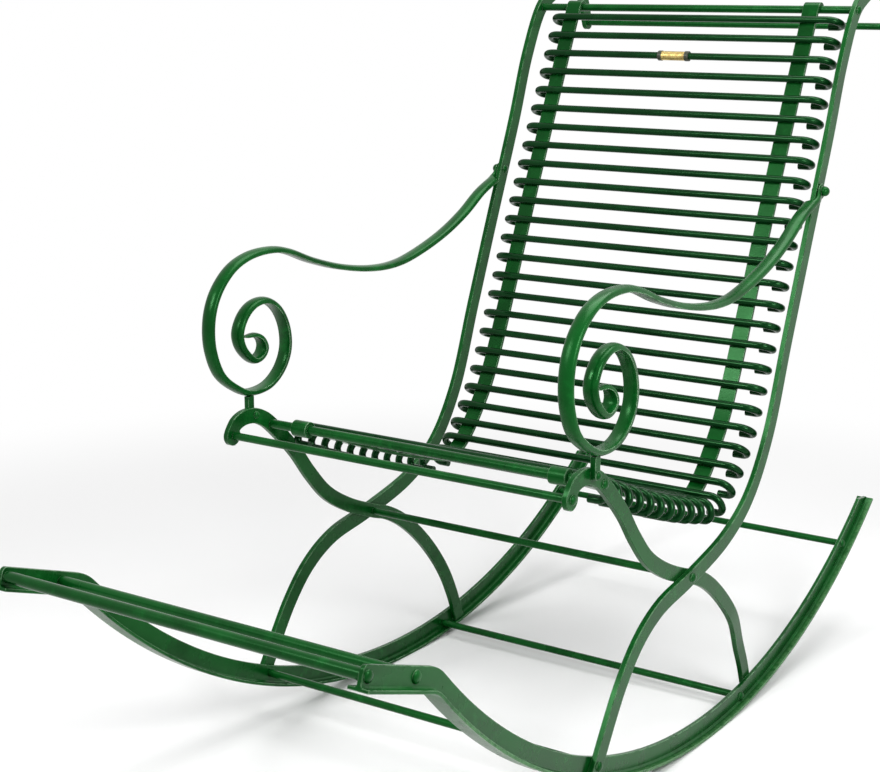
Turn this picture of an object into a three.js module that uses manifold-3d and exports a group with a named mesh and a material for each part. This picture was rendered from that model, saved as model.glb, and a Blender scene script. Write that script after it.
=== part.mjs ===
// A rocking chaise lounge of painted wrought iron, in millimetres, +Z up.
// The chair faces -Y, so +X is the sitter's left. Each side lies in planes square to X.
import * as THREE from "three";
import { mergeVertices } from "three/addons/utils/BufferGeometryUtils.js";
import Module from "manifold-3d";

const { degToRad } = THREE.MathUtils;

// Rockers: a T bar rolled to one radius, bent up at its front into the straight footrest rail.
const soleRadius = 954.5;
const rockerSpacing = 544;
const rockerHeight = 29.5;
const webThickness = 6;
const flangeWidth = 28;
const flangeThickness = 5;
const rockerRearAngle = degToRad(38.6);
const rockerFrontAngle = degToRad(46.9);
const rockerFacetAngle = degToRad(4.2);
const webTaperLength = 22;
const railBendRadius = 40;
const railBendSteps = 3;
const railSlope = degToRad(19.3);
const railLength = 126.5;
const rockerRodHeight = 18.5;
const rearLegRodHeight = 12.5;

// Flat bars of the legs and the back, and the clearance that every fitted piece keeps.
const barWidth = 24;
const legBarWidth = 22;
const hookEndRadius = 14;
const barThickness = 8;
const fit = 0.3;
const footRun = 30;
const easeBottom = 90.5;
const easeDrop = 96;

// Rod places in the side view, from below the rocker's centre on the ground, and on the rocker.
const upperFrontPlace = [-323, 455.5];
const lowerFrontPlace = [-403, 454.5];
const crossingPlace = [-82, 264.5];
const topPlace = [419, 1025.5];
const curlPlace = [574, 997.5];
const frontLegAngle = degToRad(-21.1);
const rearLegAngle = degToRad(6.75);
const rearAngle = degToRad(31.6);
const rearLegFootAngle = degToRad(9.15);
const footrestTipRun = 117;
const footrestHeelRun = 26;
const footrestRodHeight = 17.5;

// Rods: round, shouldered down to a tenon at each end, with a peened head outside.
const upperFrontRadius = 6.5;
const frameRodRadius = 5.5;
const topRodRadius = 6;
const footrestTipRadius = 7.5;
const footrestHeelRadius = 7;
const headRadius = 6.8;
const footrestHeadRadius = 8;
const headHeight = 4.5;
const tenonShare = 0.72;

// Arms: half-round ribbon in a spiral, swept down and up to a flat tab bolted to the back bar.
const armWidth = 20.5;
const armThickness = 9;
const scrollHeight = 205;
const scrollFoot = [-356, 500.5];
const armBoltHeight = 762.5;
const tipTaperLength = 90;
const tipShare = 0.3;
const tabThickness = 4;
const tabRadius = 11;
const tabLength = 46;
const armInset = 2;
const boltRadius = 4.5;
const ballRadius = 7.5;
const ballSeat = 3.6;

// Posts: a short upright from the hook to the scroll, riveted through the hook.
const postWidth = 12;
const postRivetRadius = 4;
const postHeadRadius = 5.5;
const postDrop = 25.5;

// Slats: round rods bent back into a hairpin at both ends, a little off centre.
const slatRadius = 5.5;
const slatInset = 14.5;
const slatOffset = 9;
const hairpinGap = 27.5;
const stubLength = 10;
const backSlatCount = 24;
const seatSlatCount = 12;
const backPitch = 32;
const firstSlatDrop = 24;
const lastSlatGap = 36;
const slatSpan = rockerSpacing - 2 * slatInset;

// Straps: thin flat bars that carry the slats, with an eye in front and a hook over the top rod.
const strapInset = 47.5;
const strapSpacing = slatSpan - 2 * strapInset;
const strapWidth = 26;
const strapThickness = 5;
const strapHookAngle = degToRad(165);

// The plain tag: a thin sleeve with a collar at each end, on one of the upper slats.
const tagSlat = 2;
const tagLength = 40;
const tagThickness = 1.4;
const tagCollarLength = 7;
const tagCollarThickness = 2.2;

// Places between two rods, as shares of the line from one to the other: along it and to its left.
const backFootShares = [[0.323, 0.122], [0.527, 0.155], [0.726, 0.126]];
const backLeanShares = [
  [0.095, -0.085], [0.175, -0.124], [0.281, -0.131], [0.437, -0.1],
  [0.595, -0.069], [0.785, -0.033], [0.904, -0.006],
];
const backCurlShares = [[0.2, 0.178], [0.484, 0.32], [0.81, 0.269]];
const hookShares = [[0.055, 0.146], [0.256, 0.244], [0.552, 0.239], [0.82, 0.13]];
const legFallShares = [[0.234, -0.022], [0.414, -0.062], [0.594, -0.085], [0.787, -0.061]];
const rearLegShares = [[0.101, 0.053], [0.241, 0.098], [0.443, 0.124], [0.612, 0.118], [0.855, 0.056]];
const strapShares = [
  [0.062, -0.105], [0.12, -0.198], [0.177, -0.28], [0.227, -0.338],
  [0.273, -0.348], [0.335, -0.338], [0.399, -0.317], [0.682, -0.161],
];
const armShares = [
  [0.059, -0.018], [0.145, -0.059], [0.265, -0.104], [0.386, -0.133], [0.472, -0.141],
  [0.548, -0.136], [0.686, -0.11], [0.792, -0.075], [0.883, -0.033],
];

// The scroll's outer edge from its inner tip, as shares of its height from its lowest point.
const scrollShares = [
  [-0.033, 0.424], [0.083, 0.429], [0.157, 0.395], [0.195, 0.317], [0.157, 0.244], [0.054, 0.215],
  [-0.083, 0.322], [-0.122, 0.444], [-0.064, 0.571], [0.046, 0.649], [0.189, 0.663], [0.322, 0.595],
  [0.414, 0.463], [0.444, 0.312], [0.419, 0.2], [0.337, 0.088], [0.201, 0.01], [-0.004, 0],
  [-0.166, 0.068], [-0.312, 0.185], [-0.392, 0.356], [-0.41, 0.507], [-0.383, 0.659],
  [-0.308, 0.795], [-0.162, 0.922], [0.031, 0.99], [0.284, 1],
];

// Half of the arm's section as shares of its width and thickness, from its crown to its inner face.
const armSectionShares = [[0.3, 0.14], [0.5, 0.55], [0.5, 1]];

// Fineness of the curved pieces.
const flatness = 0.25;
const routeSteps = 160;
const armSteps = 56;
const rodSides = 10;
const roundSides = 6;
const slatSides = 12;
const slatBendSteps = 4;
const headSteps = 2;
const overrun = 2;

// Planes square to X on the left side.
const webInner = (rockerSpacing - webThickness) / 2;
const webOuter = webInner + webThickness;
const barOuter = webOuter + barThickness;
const legInner = webOuter - barThickness;

const green = new THREE.MeshStandardMaterial({ color: 0x0d4019, roughness: 0.3, metalness: 0.1 });
const slatGreen = new THREE.MeshStandardMaterial({ color: 0x124a20, roughness: 0.32, metalness: 0.1 });
const brass = new THREE.MeshStandardMaterial({ color: 0xc9b26a, roughness: 0.35, metalness: 0.9 });

const wasm = await Module();
wasm.setup();

const chair = new THREE.Group();
const model = new THREE.Group();
chair.add(model);

// A closed geometry as a solid that can be joined and cut.
function toSolid(geometry) {
  const bare = new THREE.BufferGeometry();
  bare.setAttribute("position", geometry.getAttribute("position"));
  bare.setIndex(geometry.getIndex());
  const merged = mergeVertices(bare, flatness / routeSteps);
  const vertProperties = merged.getAttribute("position").array;
  const triVerts = new Uint32Array(merged.getIndex().array);
  return new wasm.Manifold(new wasm.Mesh({ numProp: 3, vertProperties, triVerts }));
}

function toGeometry(solid) {
  const mesh = solid.getMesh();
  const geometry = new THREE.BufferGeometry();
  geometry.setAttribute("position", new THREE.BufferAttribute(mesh.vertProperties, mesh.numProp));
  geometry.setIndex(new THREE.BufferAttribute(mesh.triVerts, 1));
  geometry.computeVertexNormals();
  return geometry;
}

function addMesh(name, geometry, material) {
  const mesh = new THREE.Mesh(geometry, material);
  mesh.name = name;
  model.add(mesh);
  return mesh;
}

// The right side is the left side's mirror image.
function addPair(name, geometry, material) {
  addMesh(name + "_left", geometry, material);
  addMesh(name + "_right", geometry, material).scale.x = -1;
}

function vector([y, z]) {
  return new THREE.Vector2(y, z);
}

// Points given as shares of the line between two places.
function between(start, end, shares) {
  const line = vector(end).sub(vector(start));
  const side = new THREE.Vector2(-line.y, line.x);
  return shares.map(([along, aside]) =>
    vector(start).addScaledVector(line, along).addScaledVector(side, aside).toArray());
}

// A smooth curve through places in the side view, each with its distance along X or none.
function smooth(places) {
  const points = places.map(([y, z, x = 0]) => new THREE.Vector3(x, y, z));
  return new THREE.CatmullRomCurve3(points, false, "centripetal");
}

// Evenly spaced points of a curve, without those that lie on the line of their neighbours.
function trace(curve) {
  const points = curve.getSpacedPoints(routeSteps).map((p) => new THREE.Vector2(p.y, p.z));
  const kept = [points[0]];
  let from = 0;
  for (let to = 2; to < points.length; to += 1) {
    const line = points[to].clone().sub(points[from]);
    const strays = points.slice(from + 1, to).some((p) =>
      Math.abs(line.cross(p.clone().sub(points[from]))) > flatness * line.length());
    if (strays) {
      from = to - 1;
      kept.push(points[from]);
    }
  }
  kept.push(points[points.length - 1]);
  return kept;
}

// The outline of a bar of even width along its middle line, with round ends where asked.
function barOutline(middle, width, roundStart = false, roundEnd = false) {
  const half = width / 2;
  const sides = middle.map((point, i) => {
    const before = middle[Math.max(i - 1, 0)];
    const after = middle[Math.min(i + 1, middle.length - 1)];
    const ahead = after.clone().sub(before).normalize();
    return { point, ahead, left: new THREE.Vector2(-ahead.y, ahead.x) };
  });
  const cap = ({ point, ahead, left }, way) => Array.from({ length: roundSides - 1 }, (_, i) => {
    const turn = Math.PI * (i + 1) / roundSides;
    return point.clone()
      .addScaledVector(left, way * half * Math.cos(turn))
      .addScaledVector(ahead, way * half * Math.sin(turn));
  });
  const leftEdge = sides.map(({ point, left }) => point.clone().addScaledVector(left, half));
  const rightEdge = sides.map(({ point, left }) => point.clone().addScaledVector(left, -half));
  return [
    ...leftEdge,
    ...(roundEnd ? cap(sides[sides.length - 1], 1) : []),
    ...rightEdge.reverse(),
    ...(roundStart ? cap(sides[0], -1) : []),
  ];
}

// A flat piece: an outline in the side view, with round holes, between two planes square to X.
function plate(outline, inner, outer, holes = []) {
  const shape = new THREE.Shape(outline);
  for (const { place, radius } of holes) {
    const hole = new THREE.Path();
    hole.absarc(place[0], place[1], radius, 0, 2 * Math.PI, false);
    shape.holes.push(hole);
  }
  const options = { depth: outer - inner, bevelEnabled: false, curveSegments: roundSides };
  const geometry = new THREE.ExtrudeGeometry(shape, options);
  const y = new THREE.Vector3(0, 1, 0);
  const z = new THREE.Vector3(0, 0, 1);
  const x = new THREE.Vector3(1, 0, 0);
  geometry.applyMatrix4(new THREE.Matrix4().makeBasis(y, z, x));
  geometry.translate(inner, 0, 0);
  return geometry;
}

function disc(place, radius) {
  const circle = new THREE.Path();
  circle.absarc(place[0], place[1], radius, 0, 2 * Math.PI, false);
  return circle.getPoints(roundSides).slice(0, -1);
}

// A round piece about a line along X, from pairs of distance along X and radius.
function turned(profile, place, sides = rodSides) {
  const points = profile.map(([x, radius]) => new THREE.Vector2(radius, x));
  const geometry = new THREE.LatheGeometry(points, sides);
  geometry.rotateZ(-Math.PI / 2);
  geometry.translate(0, place[0], place[1]);
  return geometry;
}

// The round of a peened head, from its rim on the bar's face to its middle.
function headProfile(face, radius, height) {
  return Array.from({ length: headSteps + 1 }, (_, i) => {
    const turn = Math.PI * i / (2 * headSteps);
    return [face + height * Math.sin(turn), i === headSteps ? 0 : radius * Math.cos(turn)];
  });
}

// The rocker's sole from its rear end to the rail's tip, each place with the way up to the web.
function soleStations() {
  const angles = [rockerRearAngle];
  const taperEnd = rockerRearAngle - webTaperLength / soleRadius;
  angles.push(taperEnd);
  const facets = Math.floor(taperEnd / rockerFacetAngle - 1 / 2);
  for (let i = facets; (i + 1 / 2) * rockerFacetAngle > -rockerFrontAngle; i -= 1) {
    angles.push((i + 1 / 2) * rockerFacetAngle);
  }
  angles.push(-rockerFrontAngle);
  const stations = angles.map((angle, i) => ({
    point: vector(rockerPlace(angle, 0)),
    up: new THREE.Vector2(-Math.sin(angle), Math.cos(angle)),
    height: i === 0 ? flangeThickness : rockerHeight,
  }));
  const bendStart = stations[stations.length - 1];
  const bendCentre = bendStart.point.clone().addScaledVector(bendStart.up, -railBendRadius);
  for (let i = 1; i <= railBendSteps; i += 1) {
    const slope = THREE.MathUtils.lerp(rockerFrontAngle, railSlope, i / railBendSteps);
    const up = new THREE.Vector2(Math.sin(slope), Math.cos(slope));
    const point = bendCentre.clone().addScaledVector(up, railBendRadius);
    stations.push({ point, up, height: rockerHeight });
  }
  const { point, up } = stations[stations.length - 1];
  const ahead = new THREE.Vector2(-up.y, up.x);
  const tip = point.clone().addScaledVector(ahead, railLength);
  stations.push({ point: tip, up, height: rockerHeight });
  return stations;
}

// A place on the rocker at an angle from its lowest point, a height above the sole.
function rockerPlace(angle, height) {
  const radius = soleRadius - height;
  return [radius * Math.sin(angle), soleRadius - radius * Math.cos(angle)];
}

// A place on the footrest rail, a run forward from its bend and a height above its sole.
function railPlace(run, height) {
  const { point, up } = sole[sole.length - 2];
  const ahead = new THREE.Vector2(-up.y, up.x);
  return point.clone().addScaledVector(ahead, run).addScaledVector(up, height).toArray();
}

// The band between two heights above the sole; a height is a number or a function of the station.
function soleBand(stations, low, high) {
  const edge = (height) => stations.map((station) => station.point.clone()
    .addScaledVector(station.up, typeof height === "function" ? height(station) : height));
  return [...edge(low), ...edge(high).reverse()];
}

const sole = soleStations();

// Each cross rod: its place, radius, the planes of its shoulders and heads, and its head.
const rods = {
  upper_front: { place: upperFrontPlace, radius: upperFrontRadius, shoulder: legInner, head: webOuter },
  lower_front: { place: lowerFrontPlace, radius: frameRodRadius, shoulder: legInner, head: webOuter },
  crossing: { place: crossingPlace, radius: frameRodRadius, shoulder: legInner, head: barOuter },
  rear_leg: {
    place: rockerPlace(rearLegAngle, rearLegRodHeight), radius: frameRodRadius,
    shoulder: webInner, head: webOuter,
  },
  rear: {
    place: rockerPlace(rearAngle, rockerRodHeight), radius: frameRodRadius,
    shoulder: webInner, head: webOuter,
  },
  top: { place: topPlace, radius: topRodRadius, shoulder: webOuter, head: barOuter },
  curl: { place: curlPlace, radius: frameRodRadius, shoulder: webOuter, head: barOuter },
  front_leg: {
    place: rockerPlace(frontLegAngle, rockerRodHeight), radius: frameRodRadius,
    shoulder: webInner, head: barOuter,
  },
  footrest_tip: {
    place: railPlace(footrestTipRun, footrestRodHeight), radius: footrestTipRadius,
    shoulder: webInner, head: webOuter, headRadius: footrestHeadRadius,
  },
  footrest_heel: {
    place: railPlace(footrestHeelRun, footrestRodHeight), radius: footrestHeelRadius,
    shoulder: webInner, head: webOuter, headRadius: footrestHeadRadius,
  },
};

function rodHole(name) {
  return { place: rods[name].place, radius: rods[name].radius * tenonShare + fit };
}

for (const [name, rod] of Object.entries(rods)) {
  const tenon = rod.radius * tenonShare;
  const half = [
    [rod.shoulder, rod.radius],
    [rod.shoulder, tenon],
    [rod.head, tenon],
    ...headProfile(rod.head, rod.headRadius ?? headRadius, headHeight),
  ];
  const mirrored = half.map(([x, radius]) => [-x, radius]).reverse();
  addMesh("rod_" + name, turned([...mirrored, ...half], rod.place), green);
}

// Rockers: the web stands on the flange and runs down to a point at the rear.
const web = plate(
  soleBand(sole, flangeThickness / 2, ({ height }) => height),
  webInner, webOuter,
  ["front_leg", "rear_leg", "rear", "footrest_tip", "footrest_heel"].map(rodHole),
);
const flangeInner = (rockerSpacing - flangeWidth) / 2;
const flange = plate(soleBand(sole, 0, flangeThickness), flangeInner, flangeInner + flangeWidth);
addPair("rocker", toGeometry(toSolid(web).add(toSolid(flange))), green);

// The space that the feet keep clear: the flange, its clearance and all below it.
const footStations = sole.slice(1, -railBendSteps - 1);
const underfoot = toSolid(plate(
  soleBand(footStations, -barWidth, flangeThickness + fit),
  flangeInner - overrun, flangeInner + flangeWidth + overrun,
));

// Back bars: up from the flange, through the crossing and the lean, into the top curl.
const footPlace = rods.front_leg.place;
const backFootDirection = vector(between(footPlace, crossingPlace, backFootShares)[0])
  .sub(vector(footPlace)).normalize();
const backFoot = vector(footPlace).addScaledVector(backFootDirection, -footRun).toArray();
const backCurve = smooth([
  backFoot,
  footPlace,
  ...between(footPlace, crossingPlace, backFootShares),
  crossingPlace,
  ...between(crossingPlace, topPlace, backLeanShares),
  topPlace,
  ...between(topPlace, curlPlace, backCurlShares),
  curlPlace,
]);
const backMiddle = trace(backCurve);
const lean = backMiddle.findIndex((point, i) => point.y > armBoltHeight && i > 0);
const armBoltPlace = backMiddle[lean - 1].clone().lerp(
  backMiddle[lean],
  (armBoltHeight - backMiddle[lean - 1].y) / (backMiddle[lean].y - backMiddle[lean - 1].y),
).toArray();
const backBar = plate(
  barOutline(backMiddle, barWidth, false, true), webOuter, barOuter,
  [
    ...["front_leg", "crossing", "top", "curl"].map(rodHole),
    { place: armBoltPlace, radius: boltRadius + fit },
  ],
);
addPair("back_bar", toGeometry(toSolid(backBar).subtract(underfoot)), green);

// Leg bars: from the hook's round tip, over the front rod and through the crossing to the rear foot.
const postRivetPlace = [scrollFoot[0], scrollFoot[1] - postDrop];
const rearFootPlace = rockerPlace(rearLegFootAngle, flangeThickness);
const legMiddle = trace(smooth([
  lowerFrontPlace,
  ...between(lowerFrontPlace, upperFrontPlace, hookShares),
  upperFrontPlace,
  ...between(upperFrontPlace, crossingPlace, legFallShares),
  crossingPlace,
  ...between(crossingPlace, rearFootPlace, rearLegShares),
  rearFootPlace,
  between(crossingPlace, rearFootPlace, [[1 + footRun / soleRadius, 0]])[0],
]));
const legBar = plate(
  barOutline(legMiddle, legBarWidth, true, false), legInner, webOuter,
  [
    ...["lower_front", "upper_front", "crossing"].map(rodHole),
    { place: postRivetPlace, radius: postRivetRadius + fit },
  ],
);

// Below the crossing the leg bar eases inwards, until its foot lies on the web's inner face.
const easeTop = crossingPlace[1] - easeDrop;
const legPoints = legBar.getAttribute("position");
for (let i = 0; i < legPoints.count; i += 1) {
  const down = 1 - THREE.MathUtils.smoothstep(legPoints.getZ(i), easeBottom, easeTop);
  const behind = legPoints.getY(i) > crossingPlace[0];
  legPoints.setX(i, legPoints.getX(i) - (behind ? webThickness * down : 0));
}
const besideWeb = toSolid(plate(
  soleBand(footStations, 0, ({ height }) => height + fit), webInner, webOuter));
const hookEnd = plate(
  disc(lowerFrontPlace, hookEndRadius), legInner, webOuter, [rodHole("lower_front")]);
const leg = toSolid(legBar).add(toSolid(hookEnd)).subtract(underfoot).subtract(besideWeb);
addPair("leg_bar", toGeometry(leg), green);

// Arms: the ribbon's crown runs along the scroll's outer edge and the arm's top to the bolt.
const scrollPlaces = scrollShares.map(([along, up]) =>
  [scrollFoot[0] + along * scrollHeight, scrollFoot[1] + up * scrollHeight]);
const scrollTop = scrollPlaces[scrollPlaces.length - 1];
const armMiddle = barOuter - armInset;
const tabCentre = barOuter + tabThickness / 2;
const armCurve = smooth([
  ...scrollPlaces.map((place) => [...place, armMiddle]),
  ...between(scrollTop, armBoltPlace, armShares).map((place, i) =>
    [...place, THREE.MathUtils.lerp(armMiddle, tabCentre, armShares[i][0] ** 2)]),
  [...armBoltPlace, tabCentre],
]);
const armLength = armCurve.getLength();
const armHalf = armSectionShares.map(([across, deep]) =>
  new THREE.Vector2(across * armWidth, -deep * armThickness));
const armSection = [
  new THREE.Vector2(0, 0),
  ...armHalf,
  ...armHalf.map(({ x, y }) => new THREE.Vector2(-x, y)).reverse(),
];
const ribbon = new THREE.ExtrudeGeometry(new THREE.Shape(armSection), {
  extrudePath: armCurve,
  steps: armSteps,
  bevelEnabled: false,
});

// Near the scroll's tip each of the ribbon's sections is drawn in towards its crown.
const armRings = armCurve.getSpacedPoints(armSteps);
const armRingLength = armLength / armSteps;
const ribbonPoints = ribbon.getAttribute("position");
for (let i = 0; i < ribbonPoints.count; i += 1) {
  const point = new THREE.Vector3().fromBufferAttribute(ribbonPoints, i);
  const distances = armRings.map((ring) => ring.distanceTo(point));
  const nearest = distances.indexOf(Math.min(...distances));
  const grown = Math.min(nearest * armRingLength / tipTaperLength, 1);
  const size = tipShare + (1 - tipShare) * grown;
  point.sub(armRings[nearest]).multiplyScalar(size).add(armRings[nearest]);
  ribbonPoints.setXYZ(i, point.x, point.y, point.z);
}

const tabStart = armCurve.getPointAt(1 - tabLength / armLength);
const tabMiddle = [new THREE.Vector2(tabStart.y, tabStart.z), vector(armBoltPlace)];
const tab = plate(
  barOutline(tabMiddle, 2 * tabRadius, false, true), barOuter, barOuter + tabThickness);
const keepOut = toSolid(plate(
  barOutline(backMiddle, barWidth + 2 * fit), webOuter - armWidth, barOuter));
const bolt = turned([
  ...headProfile(webOuter, headRadius, -headHeight).reverse(),
  [webOuter, boltRadius],
  [barOuter + tabThickness / 2, boltRadius],
  [barOuter + tabThickness / 2, 0],
], armBoltPlace);
const ball = new THREE.SphereGeometry(ballRadius, rodSides, roundSides);
ball.translate(barOuter + tabThickness + ballSeat, armBoltPlace[0], armBoltPlace[1]);
const arm = toSolid(ribbon).subtract(keepOut).add(toSolid(tab)).add(toSolid(bolt)).add(toSolid(ball));
addPair("arm", toGeometry(arm), green);

// Posts: a flat upright on the hook's outer face, with its rivet through the hook.
const scrollLowest = Math.min(...armRings.map(({ z }) => z));
const postTop = [scrollFoot[0], scrollLowest - fit];
const post = plate(
  barOutline([vector(postTop), vector(postRivetPlace)], postWidth, false, true), webOuter, barOuter);
const postRivet = turned([
  ...headProfile(legInner, postHeadRadius, -headHeight).reverse(),
  [legInner, postRivetRadius],
  [barOuter - barThickness / 2, postRivetRadius],
  [barOuter - barThickness / 2, postHeadRadius],
  ...headProfile(barOuter, postHeadRadius, headHeight),
], postRivetPlace);
addPair("post", toGeometry(toSolid(post).add(toSolid(postRivet))), green);

// Straps: an eye round the upper front rod, the sagging seat, the lean and the hook at the top.
const eyeRadius = upperFrontRadius + fit + strapThickness;
const hookRadius = topRodRadius + fit + strapThickness / 2;
const strapPlaces = between(upperFrontPlace, topPlace, strapShares);
const leanLine = vector(topPlace).sub(vector(strapPlaces[strapPlaces.length - 1])).normalize();
const leanFront = new THREE.Vector2(-leanLine.y, leanLine.x);
const strapTop = vector(topPlace).addScaledVector(leanFront, hookRadius);
const strapCurve = smooth([upperFrontPlace, ...strapPlaces, strapTop.toArray()]);
const hookTurns = Array.from({ length: roundSides }, (_, i) =>
  leanFront.clone().rotateAround(new THREE.Vector2(), -strapHookAngle * (i + 1) / roundSides));
const strapMiddle = [
  ...trace(strapCurve),
  ...hookTurns.map((turn) => vector(topPlace).addScaledVector(turn, hookRadius)),
];
const eyeWall = eyeRadius - strapThickness / 2;
const strapStart = strapMiddle[1].clone().sub(strapMiddle[0]).setLength(eyeWall).add(strapMiddle[0]);
strapMiddle[0] = strapStart;
const strapInner = (strapSpacing - strapWidth) / 2;
const strapOuter = strapInner + strapWidth;
const strapLeg = plate(barOutline(strapMiddle, strapThickness), strapInner, strapOuter);
const eyeHole = { place: upperFrontPlace, radius: upperFrontRadius + fit };
const eye = plate(disc(upperFrontPlace, eyeRadius), strapInner, strapOuter, [eyeHole]);
addPair("strap", toGeometry(toSolid(strapLeg).add(toSolid(eye))), green);

// A route whose rings are given one by one, each with its direction.
class RingCurve extends THREE.Curve {
  constructor(rings) {
    super();
    this.rings = rings;
  }

  ringAt(u) {
    return this.rings[Math.round(u * (this.rings.length - 1))];
  }

  getPointAt(u) {
    return this.ringAt(u).point.clone();
  }

  getTangentAt(u) {
    return this.ringAt(u).ahead.clone();
  }
}

// One slat, its main rod on the X axis and its cut ends below it.
function slatGeometry() {
  const bend = hairpinGap / 2;
  const bendPlace = slatSpan / 2 - slatRadius - bend;
  const bendRings = (way) => Array.from({ length: slatBendSteps + 1 }, (_, i) => {
    const turn = Math.PI * i / slatBendSteps;
    const point = new THREE.Vector3(
      way * (bendPlace + bend * Math.sin(turn)), 0, -bend - way * bend * Math.cos(turn));
    const ahead = new THREE.Vector3(Math.cos(turn), 0, way * Math.sin(turn));
    return { point, ahead };
  });
  const end = (way) => ({
    point: new THREE.Vector3(way * (bendPlace - stubLength), 0, -hairpinGap),
    ahead: new THREE.Vector3(1, 0, 0),
  });
  const right = bendRings(1);
  const left = bendRings(-1).map(({ point, ahead }) => ({ point, ahead: ahead.multiplyScalar(-1) }));
  const rings = [end(1), ...right, ...left, end(-1)];
  const circle = new THREE.Shape().absarc(0, 0, slatRadius, 0, 2 * Math.PI);
  return new THREE.ExtrudeGeometry(circle, {
    extrudePath: new RingCurve(rings),
    steps: rings.length - 1,
    curveSegments: slatSides / 2,
    bevelEnabled: false,
  });
}

// Slats: spaced down the back from the top, then along the seat to the front rod.
const slat = slatGeometry();
slat.translate(slatOffset, 0, 0);
const strapLength = strapCurve.getLength();
const backRun = (backSlatCount - 1) * backPitch;
const seatPitch = (strapLength - firstSlatDrop - backRun - lastSlatGap) / seatSlatCount;
const slatRise = strapThickness / 2 + fit + slatRadius;
for (let i = 0; i < backSlatCount + seatSlatCount; i += 1) {
  const onBack = Math.min(i, backSlatCount - 1);
  const onSeat = i - onBack;
  const run = firstSlatDrop + onBack * backPitch + onSeat * seatPitch;
  const along = 1 - run / strapLength;
  const place = strapCurve.getPointAt(along);
  const ahead = strapCurve.getTangentAt(along);
  const tilt = Math.atan2(ahead.z, ahead.y);
  const mesh = addMesh("slat_" + String(i + 1).padStart(2, "0"), slat, slatGreen);
  mesh.position.set(0, place.y - slatRise * Math.sin(tilt), place.z + slatRise * Math.cos(tilt));
  mesh.rotation.x = tilt;
}

// The tag: a sleeve round its slat, thicker at the two collars.
const tagHost = model.getObjectByName("slat_" + String(tagSlat + 1).padStart(2, "0"));
const tagInner = slatRadius + fit;
const tagHalf = tagLength / 2;
const collarHalf = tagHalf + tagCollarLength;
const tagProfile = [
  [-collarHalf, tagInner],
  [-collarHalf, tagInner + tagCollarThickness],
  [-tagHalf, tagInner + tagCollarThickness],
  [-tagHalf, tagInner + tagThickness],
  [tagHalf, tagInner + tagThickness],
  [tagHalf, tagInner + tagCollarThickness],
  [collarHalf, tagInner + tagCollarThickness],
  [collarHalf, tagInner],
  [-collarHalf, tagInner],
];
addMesh("tag", turned(tagProfile, [tagHost.position.y, tagHost.position.z]), brass);

// The origin is on the ground, under the middle of the chair.
const extent = new THREE.Box3().setFromObject(model);
const middle = extent.getCenter(new THREE.Vector3());
model.position.set(-middle.x, -middle.y, -extent.min.z);

export default chair;
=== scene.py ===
import math

import bmesh
import bpy
from mathutils import Matrix, Vector
from mathutils.geometry import interpolate_bezier


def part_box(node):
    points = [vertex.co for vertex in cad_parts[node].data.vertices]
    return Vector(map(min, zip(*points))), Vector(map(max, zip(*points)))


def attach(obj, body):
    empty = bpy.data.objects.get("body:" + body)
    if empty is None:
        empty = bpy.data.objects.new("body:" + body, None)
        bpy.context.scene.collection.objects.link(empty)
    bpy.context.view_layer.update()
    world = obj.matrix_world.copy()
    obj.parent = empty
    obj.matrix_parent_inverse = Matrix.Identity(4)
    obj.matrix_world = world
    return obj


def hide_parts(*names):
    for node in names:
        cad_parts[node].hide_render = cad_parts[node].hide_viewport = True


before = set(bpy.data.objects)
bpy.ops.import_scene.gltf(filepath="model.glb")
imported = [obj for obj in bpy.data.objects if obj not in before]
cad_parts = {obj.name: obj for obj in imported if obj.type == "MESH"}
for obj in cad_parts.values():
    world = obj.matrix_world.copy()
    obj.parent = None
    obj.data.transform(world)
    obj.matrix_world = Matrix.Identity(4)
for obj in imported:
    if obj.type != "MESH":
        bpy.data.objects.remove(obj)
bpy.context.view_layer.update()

# The view: from the sitter's front left and a little above the seat, with a long lens that keeps
# the near and the far side almost the same size.
view_azimuth = math.radians(34.614)
view_elevation = math.radians(13.078)
look = Vector((
    -math.sin(view_azimuth) * math.cos(view_elevation),
    math.cos(view_azimuth) * math.cos(view_elevation),
    -math.sin(view_elevation)))
lens = bpy.data.cameras.new("studio_camera")
lens.lens = 71.321
lens.sensor_width = 36
camera = bpy.data.objects.new("studio_camera", lens)
camera.location = (1.2955, -2.0466, 1.0678)
camera.rotation_euler = look.to_track_quat("-Z", "Y").to_euler()
scene = bpy.context.scene
scene.collection.objects.link(camera)
scene.camera = camera
scene.view_settings.view_transform = "Standard"

# The floor: a pale seamless studio floor that goes over into plain white well away from the chair.
# It keeps the chair's soft shadow.
floor_size = 14
floor_colour = (0.95, 0.95, 0.95, 1)
white = (1, 1, 1, 1)
fade_start, fade_end = 0.9, 2.1


def grown(tree, kind, settings=(), **inputs):
    """A new node with its settings.

    Its sockets, by name or as i0 and i1, are given as numbers, colours or other nodes' outputs.
    """
    node = tree.nodes.new("ShaderNode" + kind)
    for key, value in dict(settings).items():
        setattr(node, key, value)
    for key, value in inputs.items():
        socket = node.inputs[int(key[1:]) if key[1:].isdigit() else key.replace("_", " ")]
        if isinstance(value, bpy.types.NodeSocket):
            tree.links.new(value, socket)
        else:
            socket.default_value = value
    return node


def reckoned(tree, operation, *values):
    """The result of a sum on one or two values."""
    node = grown(tree, "Math", {"operation": operation},
                 **{f"i{i}": value for i, value in enumerate(values)})
    return node.outputs[0]


def soft_mask(tree, value, low, high):
    """A share that goes softly from nought at the low value to one at the high value."""
    return grown(tree, "MapRange", {"interpolation_type": "SMOOTHSTEP"}, Value=value,
                 From_Min=low, From_Max=high).outputs["Result"]


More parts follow.
